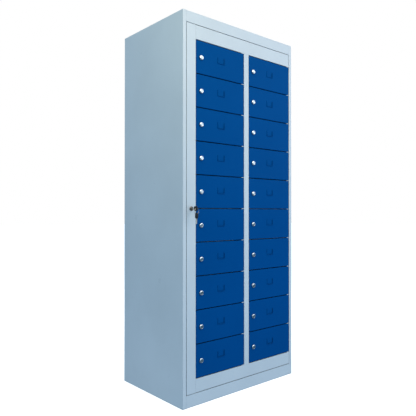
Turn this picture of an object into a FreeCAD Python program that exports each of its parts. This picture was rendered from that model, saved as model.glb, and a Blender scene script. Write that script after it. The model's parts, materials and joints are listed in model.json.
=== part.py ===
import FreeCAD, Part
import math
import os

# Compartment locker: a steel cabinet whose master door carries two columns of small locked doors.
# Millimetres, +Z up, origin at the centre of the footprint on the floor, front towards -Y.

# Cabinet
WIDTH = 755.0
DEPTH = 500.0
HEIGHT = 1800.0
SHEET = 1.2
FLANGE = 19.8
JAMB_DEPTH = 44.0
TOP_RAIL = 51.5
PLINTH = 57.0
FIXING_HOLE_R = 4.5
FIXING_SPACING_X = 600.0
FIXING_SPACING_Z = 1560.0
FIXING_TOP_Z = 1700.0

FRONT = -DEPTH / 2
BACK = DEPTH / 2
SIDE = WIDTH / 2
JAMB = SIDE - FLANGE
INTERIOR_FRONT = FRONT + JAMB_DEPTH + 0.5

# Master door
MASTER_GAP = 2.5
MASTER_RIGHT = JAMB - MASTER_GAP
MASTER_LEFT = -MASTER_RIGHT
MASTER_BOTTOM = PLINTH + MASTER_GAP
MASTER_TOP = HEIGHT - TOP_RAIL - MASTER_GAP
STILE_DEPTH = 15.0
RAIL_DEPTH = 18.6
LOCK_STILE_RIGHT = MASTER_LEFT + 52.7
CENTRE_STILE = (10.5, 43.5)
HINGE_STILE = (330.0, 354.0)
STRIP_FRONT = FRONT + 17.4
STRIP_BACK = FRONT + RAIL_DEPTH
MASTER_PIVOT = (MASTER_RIGHT - 5.0, FRONT + 5.0)
MASTER_PIN_R = 3.0
RUNNING_CLEARANCE = 0.05
BEND = 1.0

# Small doors
ROWS = 10
PITCH = 155.6
FIRST_ROW_Z = 1601.5
DOOR_WIDTH = 308.0
DOOR_HEIGHT = 151.6
DOOR_DEPTH = 16.0
DOOR_SHEET = 1.0
DOOR_BEND = 1.5
DOOR_LEFT_EDGE = {"left": -300.0, "right": 46.0}
PIVOT_INSET = 3.5
PIN_R = 1.5
BRACKET_THICKNESS = 2.4
BRACKET_REACH = 14.0
PIN_REACH = 6.0
CARD_WIDTH = 46.0
CARD_HEIGHT = 30.0
CARD_LIP = 4.0
CARD_RAISE = 3.0
CARD_BOTTOM = -8.0

# Small door locks
LOCK_INSET = 29.25
LOCK_DROP = 1.0
LOCK_FLANGE_R = 11.5
LOCK_FLANGE_LENGTH = 7.0
LOCK_BARREL_R = 9.0
LOCK_BARREL_END = FRONT + 14.5
PLUG_R = 6.0
CAM_FRONT = FRONT + 16.8
CAM_THICKNESS = 2.0
CAM_REACH = 45.0
CAM_WIDTH = 16.0
STUB_R = 3.5
SCREW_R = 1.5

# Compartment walls
TRAY_SHEET = 1.0
TRAY_DEPTH = 15.0
SHELF_ABOVE_GAP = 3.0

# Master lock and rods
MASTER_LOCK_X = (MASTER_LEFT + LOCK_STILE_RIGHT) / 2
MASTER_LOCK_Z = 900.0
MASTER_FLANGE_R = 10.0
MASTER_BARREL_R = 8.5
MASTER_PLUG_R = 6.5
DISC_FRONT = FRONT + 14.5
DISC_THICKNESS = 2.5
DISC_R = 15.0
DRIVE_PIN_R = 2.0
DRIVE_PIN_OFFSET = 7.5
ROD_FRONT = FRONT + 18.5
ROD_THICKNESS = 2.5
ROD_HALF_WIDTH = 5.0
ROD_UPPER_END = MASTER_TOP - 0.5
ROD_LOWER_END = MASTER_BOTTOM + 0.5

# Keys
KEY_HOLE_Y = FRONT - 38.0
BOW_THICKNESS = 3.0
BOW_HOLE_R = 2.5
RING_R = 12.0
RING_WIRE_R = 0.8

SIDES = ("-x", "+x", "-y", "+y", "-z", "+z")

os.makedirs("parts", exist_ok=True)


def vec(x, y, z):
    return FreeCAD.Vector(x, y, z)


def box(x0, x1, y0, y1, z0, z1):
    return Part.makeBox(x1 - x0, y1 - y0, z1 - z0, vec(x0, y0, z0))


def along_y(radius, x, z, y0, y1):
    return Part.makeCylinder(radius, y1 - y0, vec(x, y0, z), vec(0, 1, 0))


def along_z(radius, x, y, z0, z1):
    return Part.makeCylinder(radius, z1 - z0, vec(x, y, z0), vec(0, 0, 1))


def along_x(radius, y, z, x0, x1):
    return Part.makeCylinder(radius, x1 - x0, vec(x0, y, z), vec(1, 0, 0))


def hexagon(across_flats, x, z, y0, y1):
    """Hexagonal prism along Y."""
    corner = across_flats / math.sqrt(3)
    angles = [math.radians(60 * i) for i in range(7)]
    points = [vec(x + corner * math.cos(a), y0, z + corner * math.sin(a)) for a in angles]
    return Part.Face(Part.makePolygon(points)).extrude(vec(0, y1 - y0, 0))


def folded(outer, sheet, open_sides):
    """Sheet-metal box with the named sides left open."""
    inner = []
    for i, (side, limit) in enumerate(zip(SIDES, outer)):
        inward = sheet if i % 2 == 0 else -sheet
        inner.append(limit - inward if side in open_sides else limit + inward)
    return box(*outer).cut(box(*inner))


def round_edges(shape, radius, wanted):
    """Fillet the edges for which wanted(centre, direction) is true."""
    edges = []
    for edge in shape.Edges:
        ends = [v.Point for v in edge.Vertexes]
        if len(ends) != 2:
            continue
        direction = (ends[1] - ends[0]).normalize()
        if wanted((ends[0] + ends[1]) * 0.5, direction):
            edges.append(edge)
    return shape.makeFillet(radius, edges)


def close(a, b):
    return abs(a - b) < 0.01


def write(name, *solids):
    shape = solids[0] if len(solids) == 1 else Part.makeCompound(list(solids))
    shape.exportStep("parts/" + name + ".step")


def row_centre(row):
    return FIRST_ROW_Z - PITCH * row


def row_boundary(row):
    return FIRST_ROW_Z + PITCH / 2 - PITCH * row


# ---------------------------------------------------------------- cabinet

def upright(sign):
    """Front flange with its jamb return, one piece the full height."""
    outer, inner = sign * SIDE, sign * JAMB
    face = box(min(outer, inner), max(outer, inner), FRONT, FRONT + SHEET, 0, HEIGHT)
    behind = inner + sign * SHEET
    jamb = box(min(inner, behind), max(inner, behind), FRONT, FRONT + JAMB_DEPTH, 0, HEIGHT - SHEET)
    piece = face.fuse(jamb).removeSplitter()
    return round_edges(
        piece, BEND, lambda c, d: close(abs(d.z), 1) and close(c.y, FRONT)
    )


def rail(z0, z1, lip_z):
    """Front rail between the uprights, with a lip the depth of the jamb."""
    face = box(-JAMB, JAMB, FRONT, FRONT + SHEET, z0, z1)
    lip = box(-JAMB, JAMB, FRONT, FRONT + JAMB_DEPTH, lip_z, lip_z + SHEET)
    slot = box(
        MASTER_LOCK_X - ROD_HALF_WIDTH - 1,
        MASTER_LOCK_X + ROD_HALF_WIDTH + 1,
        ROD_FRONT - 1,
        ROD_FRONT + ROD_THICKNESS + 1,
        lip_z - 1,
        lip_z + SHEET + 1,
    )
    pivot = along_z(
        MASTER_PIN_R + RUNNING_CLEARANCE, *MASTER_PIVOT, lip_z - 1, lip_z + SHEET + 1
    )
    return face.fuse(lip).removeSplitter().cut(slot).cut(pivot)


def front_frame():
    top = rail(HEIGHT - TOP_RAIL, HEIGHT, HEIGHT - TOP_RAIL)
    bottom = rail(0, PLINTH, PLINTH - SHEET)
    return upright(-1), upright(1), top, bottom


def back_panel():
    panel = box(-SIDE + SHEET, SIDE - SHEET, BACK - SHEET, BACK, 0, HEIGHT)
    for x in (-FIXING_SPACING_X / 2, FIXING_SPACING_X / 2):
        for z in (FIXING_TOP_Z, FIXING_TOP_Z - FIXING_SPACING_Z):
            panel = panel.cut(along_y(FIXING_HOLE_R, x, z, BACK - 3, BACK + 1))
    return panel


def base_channels():
    half, height = 20.0, PLINTH - SHEET
    channels = []
    for y in (-175.0, 0.0, 215.0):
        outer = (-SIDE + 6, SIDE - 6, y - half, y + half, 0, height)
        channels.append(folded(outer, 1.5, ("+y", "-x", "+x")))
    return channels


def centre_partition():
    outer = (*CENTRE_STILE, FRONT + JAMB_DEPTH, BACK - SHEET, PLINTH, HEIGHT - SHEET)
    piece = folded(outer, TRAY_SHEET, ("+y", "-z", "+z"))
    return round_edges(
        piece, 0.8, lambda c, d: close(abs(d.z), 1) and close(c.y, FRONT + JAMB_DEPTH)
    )


def shelves():
    trays = []
    for x0, x1 in ((-SIDE + SHEET, CENTRE_STILE[0]), (CENTRE_STILE[1], SIDE - SHEET)):
        for row in range(ROWS + 1):
            top = row_boundary(row) + SHELF_ABOVE_GAP
            outer = (x0, x1, INTERIOR_FRONT, BACK - SHEET, top - TRAY_DEPTH, top)
            tray = folded(outer, TRAY_SHEET, ("-z",))
            trays.append(
                round_edges(
                    tray,
                    0.8,
                    lambda c, d: close(abs(d.x), 1) and close(c.y, INTERIOR_FRONT) and close(c.z, top),
                )
            )
    return trays


write("front_frame", *front_frame())
write("left_side_panel", box(-SIDE, -SIDE + SHEET, FRONT + SHEET, BACK, 0, HEIGHT))
write("right_side_panel", box(SIDE - SHEET, SIDE, FRONT + SHEET, BACK, 0, HEIGHT))
write("back_panel", back_panel())
inner_x = (-SIDE + SHEET, SIDE - SHEET)
write("top_panel", box(*inner_x, FRONT + SHEET, BACK - SHEET, HEIGHT - SHEET, HEIGHT))
write("floor_panel", box(*inner_x, INTERIOR_FRONT, BACK - SHEET, PLINTH - SHEET, PLINTH))
write("base_channels", *base_channels())
write("centre_partition", centre_partition())
write("shelves", *shelves())


# ---------------------------------------------------------------- master door

OPENING_TOP = row_boundary(0) + 1.5
OPENING_BOTTOM = row_boundary(ROWS) - 1.5


def stile(x0, x1, z0, z1):
    """Vertical channel open to the back."""
    piece = folded((x0, x1, FRONT, FRONT + STILE_DEPTH, z0, z1), SHEET, ("+y", "-z", "+z"))
    return round_edges(piece, BEND, lambda c, d: close(abs(d.z), 1) and close(c.y, FRONT))


def door_rail(z0, z1):
    """Horizontal channel from the lock stile to the hinge edge."""
    outer = (LOCK_STILE_RIGHT, MASTER_RIGHT, FRONT, FRONT + RAIL_DEPTH, z0, z1)
    piece = folded(outer, SHEET, ("+y", "-x"))
    piece = round_edges(piece, BEND, lambda c, d: close(abs(d.x), 1) and close(c.y, FRONT))
    end = z1 if z0 > MASTER_LOCK_Z else z0
    hole = along_z(MASTER_PIN_R, *MASTER_PIVOT, end - 2, end + 2)
    return piece.cut(hole)


def rod_guide(z):
    """Box-section guide welded inside the lock stile."""
    x = MASTER_LOCK_X
    outer = box(x - 13, x + 13, FRONT + SHEET, FRONT + 23, z - 8, z + 8)
    hollow = box(x - 11.5, x + 11.5, FRONT + 2.7, ROD_FRONT - 2, z - 9, z + 9)
    window = box(
        x - ROD_HALF_WIDTH - 0.5,
        x + ROD_HALF_WIDTH + 0.5,
        ROD_FRONT - 0.5,
        ROD_FRONT + ROD_THICKNESS + 0.5,
        z - 9,
        z + 9,
    )
    return outer.cut(hollow).cut(window)


def master_pivot(direction):
    """Pin with a collar that sits inside the rail; direction is +1 at the top."""
    end = MASTER_TOP if direction > 0 else MASTER_BOTTOM
    levels = sorted((end - direction * 12, end + direction * 9))
    pin = along_z(MASTER_PIN_R, *MASTER_PIVOT, *levels)
    seat = sorted((end - direction * SHEET, end - direction * (SHEET + 4)))
    return pin.fuse(along_z(MASTER_PIN_R + 0.7, *MASTER_PIVOT, *seat))


def hinge_bracket(column, row):
    """Tab in the gap between two small doors, with its pivot pin."""
    edge = DOOR_LEFT_EDGE[column] + DOOR_WIDTH
    x, y = edge - PIVOT_INSET, FRONT + PIVOT_INSET
    z = row_boundary(row)
    half = BRACKET_THICKNESS / 2
    tip = edge - BRACKET_REACH
    if column == "left":
        plate = box(tip, CENTRE_STILE[0], FRONT, FRONT + 14, z - half, z + half)
    else:
        plate = box(tip, HINGE_STILE[1], FRONT, STRIP_FRONT, z - half, z + half)
    corner = round_edges(
        plate, 3.0, lambda c, d: close(abs(d.z), 1) and close(c.y, FRONT) and close(c.x, tip)
    )
    low = z - half if row == ROWS else z - half - PIN_REACH
    high = z + half if row == 0 else z + half + PIN_REACH
    return corner.fuse(along_z(PIN_R, x, y, low, high))


guide_heights = [row_boundary(row) for row in (1, 4, 6, 9)]
write(
    "master_door_frame",
    stile(MASTER_LEFT, LOCK_STILE_RIGHT, MASTER_BOTTOM, MASTER_TOP).cut(
        along_y(MASTER_BARREL_R + 0.1, MASTER_LOCK_X, MASTER_LOCK_Z, FRONT - 1, FRONT + 3)
    ),
    stile(*CENTRE_STILE, OPENING_BOTTOM, OPENING_TOP),
    box(*HINGE_STILE, STRIP_FRONT, STRIP_BACK, OPENING_BOTTOM, OPENING_TOP),
    door_rail(OPENING_TOP, MASTER_TOP),
    door_rail(MASTER_BOTTOM, OPENING_BOTTOM),
    *[rod_guide(z) for z in guide_heights],
)
write(
    "hinge_brackets",
    *[hinge_bracket(column, row) for column in DOOR_LEFT_EDGE for row in range(ROWS + 1)],
    master_pivot(1),
    master_pivot(-1),
)


# ---------------------------------------------------------------- locks

def lock_barrel(x, z, flange_r, flange_length, barrel_r, bore_r, end):
    """Flanged barrel with a bore for the plug."""
    flange = along_y(flange_r, x, z, FRONT - flange_length, FRONT)
    flange = flange.makeChamfer(
        1.6, [e for e in flange.Edges if close(e.BoundBox.YMax, FRONT - flange_length)]
    )
    body = flange.fuse(along_y(barrel_r, x, z, FRONT, end))
    return body.cut(along_y(bore_r, x, z, FRONT - flange_length - 1, end + 1))


def lock_nut(x, z, across_flats, barrel_r, y0, y1):
    return hexagon(across_flats, x, z, y0, y1).cut(along_y(barrel_r, x, z, y0 - 1, y1 + 1))


def keyed_plug(x, z, radius, y0, y1, slot_width, slot_height, slot_depth):
    plug = along_y(radius, x, z, y0, y1)
    slot = box(
        x - slot_width / 2,
        x + slot_width / 2,
        y0 - 1,
        y0 + slot_depth,
        z - slot_height / 2,
        z + slot_height / 2,
    )
    return plug.cut(slot)


def door_pan():
    """Small door with its left lower front corner at x = 0, z = 0."""
    back = FRONT + DOOR_DEPTH
    block = box(0, DOOR_WIDTH, FRONT, back, 0, DOOR_HEIGHT)
    block = round_edges(
        block,
        DOOR_BEND,
        lambda c, d: close(c.y, FRONT) or close(abs(d.y), 1),
    )
    t = DOOR_SHEET
    pan = block.cut(box(t, DOOR_WIDTH - t, FRONT + t, back + 1, t, DOOR_HEIGHT - t))
    pan = pan.cut(
        along_y(LOCK_BARREL_R + 0.1, LOCK_INSET, DOOR_HEIGHT / 2 - LOCK_DROP, FRONT - 1, FRONT + 3)
    )
    pivot_x, pivot_y = DOOR_WIDTH - PIVOT_INSET, FRONT + PIVOT_INSET
    pan = pan.cut(along_z(PIN_R + RUNNING_CLEARANCE, pivot_x, pivot_y, -1, DOOR_HEIGHT + 1))
    return pan.fuse(card_holder()).removeSplitter()


def card_holder():
    """Raised U-shaped lip around the name card."""
    x0 = DOOR_WIDTH / 2 - CARD_WIDTH / 2
    z0 = DOOR_HEIGHT / 2 + CARD_BOTTOM
    level = (FRONT - CARD_RAISE, FRONT + DOOR_SHEET / 2)
    lip = box(x0, x0 + CARD_WIDTH, *level, z0, z0 + CARD_HEIGHT)
    lip = round_edges(
        lip, 3.0, lambda c, d: close(abs(d.y), 1) and close(c.z, z0)
    )
    window = box(
        x0 + CARD_LIP,
        x0 + CARD_WIDTH - CARD_LIP,
        level[0] - 1,
        level[1] + 1,
        z0 + CARD_LIP,
        z0 + CARD_HEIGHT + 1,
    )
    lip = lip.cut(window)
    return round_edges(
        lip,
        0.8,
        lambda c, d: close(c.y, level[0]) and close(d.y, 0) and c.z < z0 + CARD_HEIGHT - 0.1,
    )


def cam(x, z):
    """Flat cam pointing up, behind the door pan."""
    y0, y1 = CAM_FRONT, CAM_FRONT + CAM_THICKNESS
    blade = box(x - CAM_WIDTH / 2, x + CAM_WIDTH / 2, y0, y1, z, z + CAM_REACH)
    blade = round_edges(
        blade, 4.0, lambda c, d: close(abs(d.y), 1) and close(c.z, z + CAM_REACH)
    )
    return blade.fuse(along_y(CAM_WIDTH / 2, x, z, y0, y1)).cut(
        along_y(STUB_R, x, z, y0 - 1, y1 + 1)
    )


def turning_lock(x, z):
    """Plug, cam and cam screw of a small door lock."""
    cam_back = CAM_FRONT + CAM_THICKNESS
    plug = keyed_plug(x, z, PLUG_R, FRONT - LOCK_FLANGE_LENGTH - 0.4, FRONT + 15, 1.8, 8, 12)
    plug = plug.fuse(along_y(STUB_R, x, z, FRONT + 15, cam_back))
    plug = plug.cut(along_y(SCREW_R, x, z, FRONT + 11, cam_back + 1))
    screw = along_y(SCREW_R, x, z, FRONT + 11, cam_back)
    screw = screw.fuse(along_y(4.5, x, z, cam_back, cam_back + 2.2))
    return plug, cam(x, z), screw


pan = door_pan()
for column, left_edge in DOOR_LEFT_EDGE.items():
    for row in range(ROWS):
        centre = row_centre(row)
        name = "%s_%02d" % (column, row + 1)
        lock_x = left_edge + LOCK_INSET
        lock_z = centre - LOCK_DROP
        placed = pan.copy()
        placed.translate(vec(left_edge, 0, centre - DOOR_HEIGHT / 2))
        barrel = lock_barrel(
            lock_x,
            lock_z,
            LOCK_FLANGE_R,
            LOCK_FLANGE_LENGTH,
            LOCK_BARREL_R,
            PLUG_R + RUNNING_CLEARANCE,
            LOCK_BARREL_END,
        )
        nut = lock_nut(lock_x, lock_z, 22, LOCK_BARREL_R, FRONT + DOOR_SHEET, FRONT + DOOR_SHEET + 4)
        write("door_" + name, placed, barrel, nut)
        write("lock_" + name, *turning_lock(lock_x, lock_z))


# ---------------------------------------------------------------- master lock

def master_lock_plug():
    """Plug with a drive disc whose two pins work the rods."""
    x, z = MASTER_LOCK_X, MASTER_LOCK_Z
    disc_back = DISC_FRONT + DISC_THICKNESS
    plug = keyed_plug(x, z, MASTER_PLUG_R, FRONT - 5.4, FRONT + 13.5, 2.4, 9, 16)
    plug = plug.fuse(along_y(4, x, z, FRONT + 13.5, disc_back))
    disc = along_y(DISC_R, x, z, DISC_FRONT, disc_back).cut(
        along_y(4, x, z, DISC_FRONT - 1, disc_back + 1)
    )
    for sign in (1, -1):
        pin_x = x + sign * DRIVE_PIN_OFFSET
        pin_z = z - sign * DRIVE_PIN_OFFSET
        disc = disc.fuse(along_y(DRIVE_PIN_R, pin_x, pin_z, disc_back, disc_back + 4.5))
    return plug, disc


def locking_rod(sign):
    """Flat bar welded to a yoke around its drive pin; sign is +1 for the upper rod."""
    x, z = MASTER_LOCK_X, MASTER_LOCK_Z
    y0, y1 = ROD_FRONT, ROD_FRONT + ROD_THICKNESS
    end = ROD_UPPER_END if sign > 0 else ROD_LOWER_END
    joint = z + sign * 30
    bar = box(x - ROD_HALF_WIDTH, x + ROD_HALF_WIDTH, y0, y1, *sorted((joint, end)))
    arm_x = sorted((x + sign * 1, x + sign * 16))
    head_x = sorted((x - sign * ROD_HALF_WIDTH, x + sign * 16))
    arm = box(*arm_x, y0, y1, *sorted((z - sign * 14, joint)))
    head = box(*head_x, y0, y1, *sorted((joint - sign * 10, joint)))
    slot_x = sorted((x + sign * 4.5, x + sign * 13.6))
    slot_z = z - sign * DRIVE_PIN_OFFSET
    slot = box(*slot_x, y0 - 1, y1 + 1, slot_z - 3, slot_z + 3)
    return bar, arm.fuse(head).removeSplitter().cut(slot)


barrel = lock_barrel(
    MASTER_LOCK_X,
    MASTER_LOCK_Z,
    MASTER_FLANGE_R,
    5,
    MASTER_BARREL_R,
    MASTER_PLUG_R + RUNNING_CLEARANCE,
    FRONT + 13,
)
nut = lock_nut(MASTER_LOCK_X, MASTER_LOCK_Z, 22, MASTER_BARREL_R, FRONT + SHEET, FRONT + SHEET + 4)
write("master_lock_body", barrel, nut)
write("master_lock_plug", *master_lock_plug())
write("upper_rod", *locking_rod(1))
write("lower_rod", *locking_rod(-1))


# ---------------------------------------------------------------- keys

def key_bow(y0, y1, z0, z1, hole_y, hole_z):
    """Flat plastic bow in the YZ plane with a ring hole."""
    half = BOW_THICKNESS / 2
    bow = box(MASTER_LOCK_X - half, MASTER_LOCK_X + half, y0, y1, z0, z1)
    bow = round_edges(bow, 7.0, lambda c, d: close(abs(d.x), 1))
    bow = bow.makeFillet(0.8, [e for e in bow.Edges if close(e.BoundBox.XLength, 0)])
    return bow.cut(
        along_x(BOW_HOLE_R, hole_y, hole_z, MASTER_LOCK_X - 3, MASTER_LOCK_X + 3)
    )


def key_blade(y0, y1, z0, z1, tip):
    """Flat metal blade with a chamfered tip towards tip ('+y' or '-z')."""
    blade = box(MASTER_LOCK_X - 1, MASTER_LOCK_X + 1, y0, y1, z0, z1)
    if tip == "+y":
        edges = [e for e in blade.Edges if close(e.BoundBox.YMin, y1) and e.BoundBox.XLength > 1]
    else:
        edges = [e for e in blade.Edges if close(e.BoundBox.ZMax, z0) and e.BoundBox.XLength > 1]
    return blade.makeChamfer(2.5, edges)


spare_hole_z = MASTER_LOCK_Z - 2 * RING_R
spare_top = spare_hole_z + 5
write("master_key_blade", key_blade(FRONT - 20, FRONT + 9, MASTER_LOCK_Z - 4, MASTER_LOCK_Z + 4, "+y"))
write(
    "master_key_bow",
    key_bow(FRONT - 44, FRONT - 20, MASTER_LOCK_Z - 11, MASTER_LOCK_Z + 11, KEY_HOLE_Y, MASTER_LOCK_Z),
)
ring_centre = vec(MASTER_LOCK_X, KEY_HOLE_Y, MASTER_LOCK_Z - RING_R)
ring = Part.makeTorus(RING_R, RING_WIRE_R, ring_centre, vec(0, 1, 0))
write("key_ring", ring)
write(
    "spare_key_bow",
    key_bow(KEY_HOLE_Y - 10.5, KEY_HOLE_Y + 10.5, spare_top - 26, spare_top, KEY_HOLE_Y, spare_hole_z),
)
write(
    "spare_key_blade",
    key_blade(KEY_HOLE_Y - 4, KEY_HOLE_Y + 4, spare_top - 51, spare_top - 26, "-z"),
)
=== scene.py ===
import json
import math

import bmesh
import bpy
from mathutils import Euler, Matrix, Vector


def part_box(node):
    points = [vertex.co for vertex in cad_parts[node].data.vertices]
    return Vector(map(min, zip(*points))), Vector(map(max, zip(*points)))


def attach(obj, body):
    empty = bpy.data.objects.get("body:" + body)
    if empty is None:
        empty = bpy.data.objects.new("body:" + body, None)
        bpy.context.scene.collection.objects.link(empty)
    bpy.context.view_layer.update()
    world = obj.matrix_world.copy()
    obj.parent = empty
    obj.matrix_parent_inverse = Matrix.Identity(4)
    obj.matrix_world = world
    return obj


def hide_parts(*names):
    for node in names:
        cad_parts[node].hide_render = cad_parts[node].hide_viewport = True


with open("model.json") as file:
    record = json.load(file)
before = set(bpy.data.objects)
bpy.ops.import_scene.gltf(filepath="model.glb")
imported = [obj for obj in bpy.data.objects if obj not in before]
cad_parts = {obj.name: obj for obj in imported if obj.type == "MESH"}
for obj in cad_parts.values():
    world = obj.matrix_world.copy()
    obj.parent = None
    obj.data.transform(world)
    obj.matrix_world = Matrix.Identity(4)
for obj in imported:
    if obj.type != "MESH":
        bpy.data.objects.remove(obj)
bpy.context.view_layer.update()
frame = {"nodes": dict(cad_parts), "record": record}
nodes = frame["nodes"]
bodies = frame["record"]["behaviour"]["bodies"]
mm = 0.001

# Front plane of the doors and the sizes of the locks, as the CAD has them.
FRONT = -0.250
SMALL_LOCK = {"bore": 6.05, "flange": 11.5, "length": 7.0, "barrel": 9.0, "end": 14.5}
MASTER_LOCK = {"bore": 6.55, "flange": 10.0, "length": 5.0, "barrel": 8.5, "end": 13.0}
NUT_ACROSS_FLATS = 22
SMALL_NUT_START = 1.0
MASTER_NUT_START = 1.2
CAM_HALF_WIDTH = 8 * mm

for other in [o for o in bpy.data.objects if o.type in {"CAMERA", "LIGHT"}]:
    bpy.data.objects.remove(other)


# ---------------------------------------------------------------- materials

class Surface:
    """A Principled material with helpers for its node tree."""

    def __init__(self, name, **uniform):
        self.material = bpy.data.materials.new(name)
        self.material.use_nodes = True
        self.tree = self.material.node_tree
        self.shader = self.tree.nodes["Principled BSDF"]
        for key, value in uniform.items():
            self.shader.inputs[key.replace("_", " ")].default_value = value
        self.coordinates = self.tree.nodes.new("ShaderNodeTexCoord").outputs["Object"]

    def node(self, kind, **settings):
        made = self.tree.nodes.new(kind)
        for key, value in settings.items():
            setattr(made, key, value)
        return made

    def link(self, output, target):
        self.tree.links.new(output, target)

    def noise(self, scale, detail=2.0, roughness=0.5, stretch=(1, 1, 1)):
        mapping = self.node("ShaderNodeMapping")
        mapping.inputs["Scale"].default_value = stretch
        self.link(self.coordinates, mapping.inputs["Vector"])
        made = self.node("ShaderNodeTexNoise")
        made.inputs["Scale"].default_value = scale
        made.inputs["Detail"].default_value = detail
        made.inputs["Roughness"].default_value = roughness
        self.link(mapping.outputs["Vector"], made.inputs["Vector"])
        return made.outputs["Fac"]

    def cells(self, scale):
        made = self.node("ShaderNodeTexVoronoi")
        made.inputs["Scale"].default_value = scale
        self.link(self.coordinates, made.inputs["Vector"])
        return made.outputs["Distance"]

    def between(self, value, low, high, out_low, out_high):
        made = self.node("ShaderNodeMapRange")
        for key, number in zip(
            ("From Min", "From Max", "To Min", "To Max"), (low, high, out_low, out_high)
        ):
            made.inputs[key].default_value = number
        self.link(value, made.inputs["Value"])
        return made.outputs["Result"]

    def mix(self, factor, a, b, blend="MIX"):
        made = self.node("ShaderNodeMix", data_type="RGBA", blend_type=blend)
        sockets = {"fac": made.inputs[0], "a": made.inputs[6], "b": made.inputs[7]}
        for key, value in (("fac", factor), ("a", a), ("b", b)):
            if isinstance(value, (int, float, tuple)):
                sockets[key].default_value = value
            else:
                self.link(value, sockets[key])
        return made.outputs[2]

    def edges(self, radius):
        """1 close to a sharp edge and 0 on flat metal."""
        bevel = self.node("ShaderNodeBevel", samples=4)
        bevel.inputs["Radius"].default_value = radius
        geometry = self.node("ShaderNodeNewGeometry")
        dot = self.node("ShaderNodeVectorMath", operation="DOT_PRODUCT")
        self.link(bevel.outputs["Normal"], dot.inputs[0])
        self.link(geometry.outputs["True Normal"], dot.inputs[1])
        return self.between(dot.outputs["Value"], 1.0, 0.85, 0.0, 1.0)

    def paint_gap_shade(self, colour, reach, darkest):
        """Painted shade: darken the colour in gaps and slots narrower than reach."""
        hidden = self.node("ShaderNodeAmbientOcclusion", samples=8)
        hidden.inputs["Distance"].default_value = reach
        shade = self.between(hidden.outputs["AO"], 0.0, 0.8, darkest, 1.0)
        return self.mix(1.0, colour, shade, "MULTIPLY")

    def relief(self, layers, bevel=None):
        """Stack bumps; layers are (height, strength, distance)."""
        normal = None
        if bevel:
            rounded = self.node("ShaderNodeBevel", samples=4)
            rounded.inputs["Radius"].default_value = bevel
            normal = rounded.outputs["Normal"]
        for value, strength, distance in layers:
            bump = self.node("ShaderNodeBump")
            bump.inputs["Strength"].default_value = strength
            bump.inputs["Distance"].default_value = distance
            self.link(value, bump.inputs["Height"])
            if normal:
                self.link(normal, bump.inputs["Normal"])
            normal = bump.outputs["Normal"]
        self.link(normal, self.shader.inputs["Normal"])


def powder_coat(name, base, worn, specular, tint, roughness, darkest_gap_shade, bevel=0.0008):
    """Baked powder coat: orange-peel skin, faint clouding, slightly rubbed edges, and painted shade
    in its gaps and crevices.
    """
    s = Surface(name, Specular_IOR_Level=specular, Specular_Tint=tint)
    clouds = s.noise(3.0, 4.0, 0.55)
    shaded = tuple(c * 0.94 for c in base[:3]) + (1,)
    body = s.mix(s.between(clouds, 0.35, 0.65, 0.0, 1.0), base, shaded)
    speck = s.between(s.noise(420.0, 2.0, 0.7), 0.60, 0.72, 0.0, 0.10)
    body = s.mix(speck, body, worn)
    rub = s.node("ShaderNodeMath", operation="MULTIPLY")
    s.link(s.edges(0.0012), rub.inputs[0])
    s.link(s.between(s.noise(60.0, 4.0, 0.7), 0.45, 0.65, 0.05, 0.5), rub.inputs[1])
    body = s.mix(rub.outputs["Value"], body, worn)
    # Painted shade: ambient occlusion darkens the paint in door gaps, seams and under the
    # card-holder lips.
    s.link(s.paint_gap_shade(body, 0.010, darkest_gap_shade), s.shader.inputs["Base Color"])
    s.link(s.between(s.noise(9.0, 5.0, 0.6), 0.3, 0.7, roughness - 0.05, roughness + 0.07),
           s.shader.inputs["Roughness"])
    s.relief(
        [(s.noise(1.6, 1.0, 0.4), 0.10, 0.004), (s.noise(520.0, 1.5, 0.5), 0.22, 0.0003)],
        bevel=bevel,
    )
    return s.material


def bright_metal(name, base, dull, roughness, scale, bevel=0.0004):
    """Plated metal with fine wear and smudges, and painted shade darkening its keyways and slots.
    """
    s = Surface(name, Metallic=1.0)
    smudge = s.noise(scale, 4.0, 0.6)
    body = s.mix(s.between(smudge, 0.4, 0.7, 0.0, 0.6), base, dull)
    # Painted shade: ambient occlusion nearly blackens the metal inside keyways and narrow slots.
    s.link(s.paint_gap_shade(body, 0.005, 0.02), s.shader.inputs["Base Color"])
    s.link(s.between(s.noise(scale * 2.3, 3.0, 0.6), 0.3, 0.7, roughness * 0.7, roughness * 1.5),
           s.shader.inputs["Roughness"])
    s.relief([(s.noise(scale * 9, 2.0, 0.5, (1, 1, 0.15)), 0.12, 0.0001)], bevel=bevel)
    return s.material


def zinc_plate():
    """Galvanised steel with a soft spangle."""
    s = Surface("zinc_steel", Metallic=1.0)
    spangle = s.cells(120.0)
    body = s.mix(
        s.between(spangle, 0.0, 0.6, 0.0, 1.0), (0.46, 0.47, 0.49, 1), (0.62, 0.63, 0.65, 1)
    )
    s.link(body, s.shader.inputs["Base Color"])
    s.link(s.between(s.noise(40.0, 3.0), 0.3, 0.7, 0.35, 0.5), s.shader.inputs["Roughness"])
    s.relief([(spangle, 0.08, 0.0003)], bevel=0.0006)
    return s.material


def moulded_plastic():
    """Black key-bow plastic with a fine spark-eroded grain."""
    s = Surface("black_plastic", Specular_IOR_Level=0.45)
    body = s.mix(
        s.between(s.noise(90.0, 3.0), 0.4, 0.7, 0.0, 1.0),
        (0.006, 0.006, 0.007, 1),
        (0.016, 0.016, 0.018, 1),
    )
    s.link(body, s.shader.inputs["Base Color"])
    s.link(s.between(s.noise(200.0, 2.0), 0.3, 0.7, 0.38, 0.52), s.shader.inputs["Roughness"])
    s.relief([(s.noise(2200.0, 1.0), 0.25, 0.0001)], bevel=0.0004)
    return s.material


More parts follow.
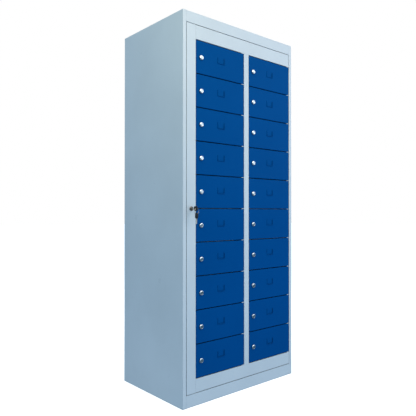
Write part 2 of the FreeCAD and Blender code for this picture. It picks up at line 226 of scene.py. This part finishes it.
GREY = powder_coat(
    "grey_powder_coat",
    base=(0.60, 0.70, 0.785, 1),
    worn=(0.74, 0.80, 0.86, 1),
    specular=0.25,
    tint=(1, 1, 1, 1),
    roughness=0.32,
    darkest_gap_shade=0.35,
)
BLUE = powder_coat(
    "blue_powder_coat",
    base=(0.0003, 0.071, 0.278, 1),
    worn=(0.004, 0.13, 0.40, 1),
    specular=0.02,
    tint=(0.02, 0.7, 1, 1),
    roughness=0.30,
    darkest_gap_shade=0.15,
)
CHROME = bright_metal("nickel_plate", (0.88, 0.95, 1.00, 1), (0.74, 0.82, 0.88, 1), 0.14, 160.0)
WORN = bright_metal("worn_nickel", (0.78, 0.86, 0.92, 1), (0.50, 0.57, 0.62, 1), 0.18, 200.0)
# Dark nickel for the master lock: its darkness stands partly for the lock's dark keyway and partly
# for painted shade on the lock.
SHADED_DARK_NICKEL = bright_metal("dark_nickel_painted_shade", (0.30, 0.27, 0.24, 1), (0.16, 0.13, 0.11, 1), 0.22, 200.0)
KEY_METAL = bright_metal("key_nickel", (0.74, 0.72, 0.66, 1), (0.50, 0.47, 0.40, 1), 0.26, 220.0)
ZINC = zinc_plate()
PLASTIC = moulded_plastic()
FINISH = {
    "grey_paint": GREY,
    "blue_paint": BLUE,
    "chrome": CHROME,
    "key_steel": KEY_METAL,
    "zinc_steel": ZINC,
    "black_plastic": PLASTIC,
}
for part in frame["record"]["subparts"]:
    mesh = nodes[part["node"]].data
    mesh.materials.clear()
    mesh.materials.append(FINISH[part["material_slot"]])


# ---------------------------------------------------------------- meshes

def finish_piece(name, bm, material, body, replaced=(), smooth=False):
    """Turn a bmesh in frame coordinates into a piece that rides on a body."""
    bmesh.ops.recalc_face_normals(bm, faces=bm.faces)
    data = bpy.data.meshes.new(name)
    bm.to_mesh(data)
    bm.free()
    for polygon in data.polygons:
        polygon.use_smooth = smooth
    data.materials.append(material)
    piece = bpy.data.objects.new(name, data)
    bpy.context.scene.collection.objects.link(piece)
    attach(piece, body)
    if replaced:
        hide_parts(*replaced)
    return piece


def lathe(profile, x, z, steps=64):
    """Closed ring swept round an axis along Y; profile is a loop of (radius, y)."""
    bm = bmesh.new()
    rings = []
    for i in range(steps):
        angle = 2 * math.pi * i / steps
        c, s = math.cos(angle), math.sin(angle)
        rings.append([bm.verts.new((x + r * c, y, z + r * s)) for r, y in profile])
    count = len(profile)
    for i in range(steps):
        a, b = rings[i], rings[(i + 1) % steps]
        for j in range(count):
            k = (j + 1) % count
            bm.faces.new((a[j], a[k], b[k], b[j]))
    return bm


def door_mesh(x0, x1, z0, z1):
    """Folded door pan: flat front, bent edges, 16 mm deep, 1 mm sheet."""
    bend, sheet, depth = 1.5 * mm, 1.0 * mm, 16 * mm
    bm = bmesh.new()

    def outline(inset, y, radius):
        """Rounded rectangle of vertices at depth y."""
        verts = []
        for cx, cz, start in ((x0, z0, 180), (x1, z0, 270), (x1, z1, 0), (x0, z1, 90)):
            sx = 1 if cx == x0 else -1
            sz = 1 if cz == z0 else -1
            for i in range(5):
                angle = math.radians(start + 22.5 * i)
                u = cx + sx * (inset + radius) + radius * math.cos(angle)
                v = cz + sz * (inset + radius) + radius * math.sin(angle)
                verts.append(bm.verts.new((u, y, v)))
        return verts

    loops = []
    for i in range(6):
        t = math.pi / 2 * i / 5
        loops.append(outline(bend * (1 - math.sin(t)), FRONT + bend * (1 - math.cos(t)), 1.6 * mm))
    loops.append(outline(0, FRONT + depth, 1.6 * mm))
    loops.append(outline(sheet, FRONT + depth, 0.8 * mm))
    loops.append(outline(sheet, FRONT + sheet, 0.8 * mm))
    bm.faces.new(loops[0])
    bm.faces.new(loops[-1])
    for a, b in zip(loops, loops[1:]):
        for j in range(len(a)):
            k = (j + 1) % len(a)
            bm.faces.new((a[j], a[k], b[k], b[j]))
    return bm


def add_card_holder(bm, x, z):
    """Lip pressed 3 mm proud, sloping outside and slotted inside, swept down, across and up."""
    left, right = x - 23 * mm, x + 23 * mm
    bottom, top = z - 8 * mm, z + 22 * mm
    path = [
        (left, top, 1, 0), (left, bottom, 1, 1), (right, bottom, -1, 1), (right, top, -1, 0),
    ]
    section = [
        (0, -0.3), (0, 0.2), (1.4, 2.5), (1.9, 2.9), (2.4, 3.0), (3.7, 3.0), (4.0, 2.8),
        (4.0, 2.1), (2.5, 2.0), (1.2, 0.0), (1.2, -0.3),
    ]
    stations = []
    for px, pz, ux, uz in path:
        stations.append(
            [bm.verts.new((px + ux * u * mm, FRONT - v * mm, pz + uz * u * mm)) for u, v in section]
        )
    for a, b in zip(stations, stations[1:]):
        for j in range(len(section)):
            k = (j + 1) % len(section)
            bm.faces.new((a[j], a[k], b[k], b[j]))
    bm.faces.new(stations[0])
    bm.faces.new(stations[-1])


def barrel_profile(bore, flange, length, barrel, end):
    """Lock barrel section: domed flange with a groove round the plug."""
    face = FRONT - length * mm
    inner = bore + 1.0
    crown = [(bore, 1.0), (bore + 0.4, 0.3), (inner, 0.0)]
    for i in range(1, 11):
        turn = math.radians(8 * i)
        share = math.sin(turn) / math.sin(math.radians(80))
        width = flange - inner
        crown.append((inner + width * share, width * 0.8 * (1 - math.cos(turn))))
    section = [(r * mm, face + y * mm) for r, y in crown]
    return section + [
        (flange * mm, FRONT), (barrel * mm, FRONT), (barrel * mm, FRONT + end * mm),
        (bore * mm, FRONT + end * mm),
    ]


def nut_mesh(x, z, flats, barrel, start):
    """Hexagon nut with chamfered corners."""
    corner = flats / math.sqrt(3)
    y = FRONT + start * mm
    hole, chamfer = barrel * 1.16, corner - 0.8
    profile = [
        (hole * mm, y), (chamfer * mm, y), (corner * mm, y + 0.6 * mm),
        (corner * mm, y + 3.4 * mm), (chamfer * mm, y + 4 * mm), (hole * mm, y + 4 * mm),
    ]
    return lathe(profile, x, z, steps=6)


def key_mesh(x, along, across, start, length, sense):
    """Key blade 2 mm thick with cut teeth; along and across are unit vectors."""
    cuts = [
        (3.5, 3.4), (5.0, 2.2), (7.0, 2.2), (8.5, 3.0), (10.0, 1.8), (12.0, 1.8), (13.5, 2.9),
        (15.0, 2.1), (17.0, 2.1), (18.5, 3.2), (20.0, 2.5), (22.0, 2.5),
    ]
    outline = [(0, -4), (0, 4), (2.5, 4)] + [c for c in cuts if c[0] < length - 3]
    outline += [
        (length - 2.2, 2.6), (length - 0.4, 0.6), (length, 0),
        (length - 0.4, -1.6), (length - 2.4, -4),
    ]
    bm = bmesh.new()
    sides = []
    for thick, shrink in ((-1.0, 0.3), (-0.7, 0.0), (0.7, 0.0), (1.0, 0.3)):
        ring = []
        for s, t in outline:
            s = min(max(s, shrink), length - shrink)
            t = t - math.copysign(min(shrink, abs(t)), t)
            p = start + along * (s * mm) + across * (sense * t * mm)
            ring.append(bm.verts.new((x + thick * mm, p.y, p.z)))
        sides.append(ring)
    bm.faces.new(sides[0])
    bm.faces.new(sides[-1])
    for a, b in zip(sides, sides[1:]):
        for j in range(len(a)):
            k = (j + 1) % len(a)
            bm.faces.new((a[j], a[k], b[k], b[j]))
    return bm


# ---------------------------------------------------------------- small doors

for body in sorted(n for n in bodies if n.startswith("door_")):
    plug = body.replace("door_", "lock_")
    low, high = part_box(body)
    hub_low, hub_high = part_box(plug)
    x = (hub_low.x + hub_high.x) / 2
    z = hub_low.z + CAM_HALF_WIDTH
    bm = door_mesh(low.x, high.x, low.z, high.z)
    add_card_holder(bm, (low.x + high.x) / 2, (low.z + high.z) / 2)
    finish_piece(body + "_panel", bm, BLUE, body, (body,))
    ring = lathe(barrel_profile(**SMALL_LOCK), x, z)
    finish_piece(body + "_barrel", ring, CHROME, body, smooth=True)
    nut = nut_mesh(x, z, NUT_ACROSS_FLATS, SMALL_LOCK["barrel"], SMALL_NUT_START)
    finish_piece(body + "_nut", nut, CHROME, body)

for node in [n for n in nodes if n.startswith("lock_")]:
    nodes[node].data.materials[0] = WORN

# ---------------------------------------------------------------- master lock and keys

low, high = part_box("master_lock_body")
x, z = (low.x + high.x) / 2, (low.z + high.z) / 2
# The master barrel and plug take the dark nickel, which partly paints shade on the lock.
ring = lathe(barrel_profile(**MASTER_LOCK), x, z)
finish_piece(
    "master_barrel", ring, SHADED_DARK_NICKEL, "master_door", ("master_lock_body",), smooth=True
)
nut = nut_mesh(x, z, NUT_ACROSS_FLATS, MASTER_LOCK["barrel"], MASTER_NUT_START)
finish_piece("master_nut", nut, CHROME, "master_door")
nodes["master_lock_plug"].data.materials[0] = SHADED_DARK_NICKEL

low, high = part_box("master_key_blade")
start = Vector((0, low.y, (low.z + high.z) / 2))
length = (high.y - low.y) / mm
blade = key_mesh((low.x + high.x) / 2, Vector((0, 1, 0)), Vector((0, 0, 1)), start, length, 1)
finish_piece("master_key", blade, KEY_METAL, "master_lock", ("master_key_blade",))
low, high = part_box("spare_key_blade")
start = Vector((0, (low.y + high.y) / 2, high.z))
length = (high.z - low.z) / mm
blade = key_mesh((low.x + high.x) / 2, Vector((0, 0, -1)), Vector((0, 1, 0)), start, length, -1)
finish_piece("spare_key", blade, KEY_METAL, "spare_key", ("spare_key_blade",))


# ---------------------------------------------------------------- floor, light and camera

floor_bm = bmesh.new()
bmesh.ops.create_grid(floor_bm, x_segments=8, y_segments=8, size=30.0)
floor_data = bpy.data.meshes.new("floor")
floor_bm.to_mesh(floor_data)
floor_bm.free()
floor = bpy.data.objects.new("floor", floor_data)
bpy.context.scene.collection.objects.link(floor)
ground = Surface("pale_floor", Roughness=0.9, Specular_IOR_Level=0.1)
patches = ground.between(ground.noise(2.0), 0.3, 0.7, 0.0, 1.0)
ground.link(
    ground.mix(patches, (0.93, 0.93, 0.93, 1), (0.95, 0.95, 0.95, 1)),
    ground.shader.inputs["Base Color"],
)
ground.shader.inputs["Emission Color"].default_value = (1, 1, 1, 1)
ground.shader.inputs["Emission Strength"].default_value = 0.66
floor_data.materials.append(ground.material)
floor.visible_diffuse = False
floor.visible_glossy = False


def area_light(name, place, target, size, power, colour):
    data = bpy.data.lights.new(name, "AREA")
    data.shape = "RECTANGLE"
    data.size, data.size_y = size
    data.energy = power
    data.color = colour
    light = bpy.data.objects.new(name, data)
    light.location = place
    light.rotation_euler = (Vector(target) - Vector(place)).to_track_quat("-Z", "Y").to_euler()
    light.visible_camera = False
    bpy.context.scene.collection.objects.link(light)
    return light


area_light("key", (0.3, -2.1, 2.3), (0, -0.25, 0.8), (1.1, 1.1), 17.5, (1.0, 0.79, 0.62))
fill = area_light("fill", (0.8, -2.4, 0.5), (0, -0.25, 0.6), (1.2, 0.8), 8.0, (0.62, 0.80, 1.0))
fill.visible_glossy = False
area_light("side", (-1.2, -1.0, 2.2), (0, -0.25, 1.0), (1.2, 1.2), 8.2, (1.0, 0.92, 0.56))
area_light("card", (2.3, -2.7, 2.3), (0, -0.25, 2.3), (1.7, 2.5), 12.0, (1.0, 1.0, 1.0))
area_light("low", (-0.85, 0.0, 0.03), (-0.3775, 0.0, 0.03), (0.5, 0.04), 0.16, (1.0, 1.0, 1.0))
area_light("back", (0.6, 3.0, 2.4), (0, 0.25, 0.9), (1.5, 1.5), 24.0, (1.0, 0.80, 0.62))
area_light("right", (3.0, 0.6, 2.0), (0.3775, 0, 0.9), (1.5, 1.5), 18.0, (1.0, 0.80, 0.62))

world = bpy.data.worlds.new("studio")
bpy.context.scene.world = world
world.use_nodes = True
tree = world.node_tree


def world_mix(factor, a, b):
    """Mix two colours, each a tuple or a node output."""
    made = tree.nodes.new("ShaderNodeMix")
    made.data_type = "RGBA"
    tree.links.new(factor, made.inputs[0])
    for socket, value in ((made.inputs[6], a), (made.inputs[7], b)):
        if isinstance(value, tuple):
            socket.default_value = value
        else:
            tree.links.new(value, socket)
    return made.outputs[2]


# Blue-grey sky over a dimmer ground, which is darker again in reflections; the camera sees white.
direction = tree.nodes.new("ShaderNodeTexCoord")
parts = tree.nodes.new("ShaderNodeSeparateXYZ")
tree.links.new(direction.outputs["Generated"], parts.inputs["Vector"])
rise = tree.nodes.new("ShaderNodeMapRange")
rise.inputs["From Min"].default_value = -0.03
rise.inputs["From Max"].default_value = 0.06
tree.links.new(parts.outputs["Z"], rise.inputs["Value"])
ray = tree.nodes.new("ShaderNodeLightPath")
below = world_mix(ray.outputs["Is Glossy Ray"], (0.27, 0.37, 0.46, 1), (0.08, 0.14, 0.20, 1))
sky = world_mix(rise.outputs["Result"], below, (0.45, 0.59, 0.73, 1))
seen = world_mix(ray.outputs["Is Camera Ray"], sky, (1.0, 1.0, 1.0, 1))
tree.links.new(seen, tree.nodes["Background"].inputs["Color"])

camera_data = bpy.data.cameras.new("camera")
camera_data.sensor_width = 36.0
camera_data.lens = 41.617
camera_data.clip_start = 0.05
camera_data.clip_end = 100.0
camera = bpy.data.objects.new("camera", camera_data)
camera.location = (-1.70036, -1.95448, 0.88231)
camera.rotation_euler = Euler((math.radians(90.5406), 0.0, math.radians(-40.809)), "XYZ")
bpy.context.scene.collection.objects.link(camera)
bpy.context.scene.camera = camera
bpy.context.scene.view_settings.view_transform = "Standard"
bpy.context.scene.view_settings.look = "None"
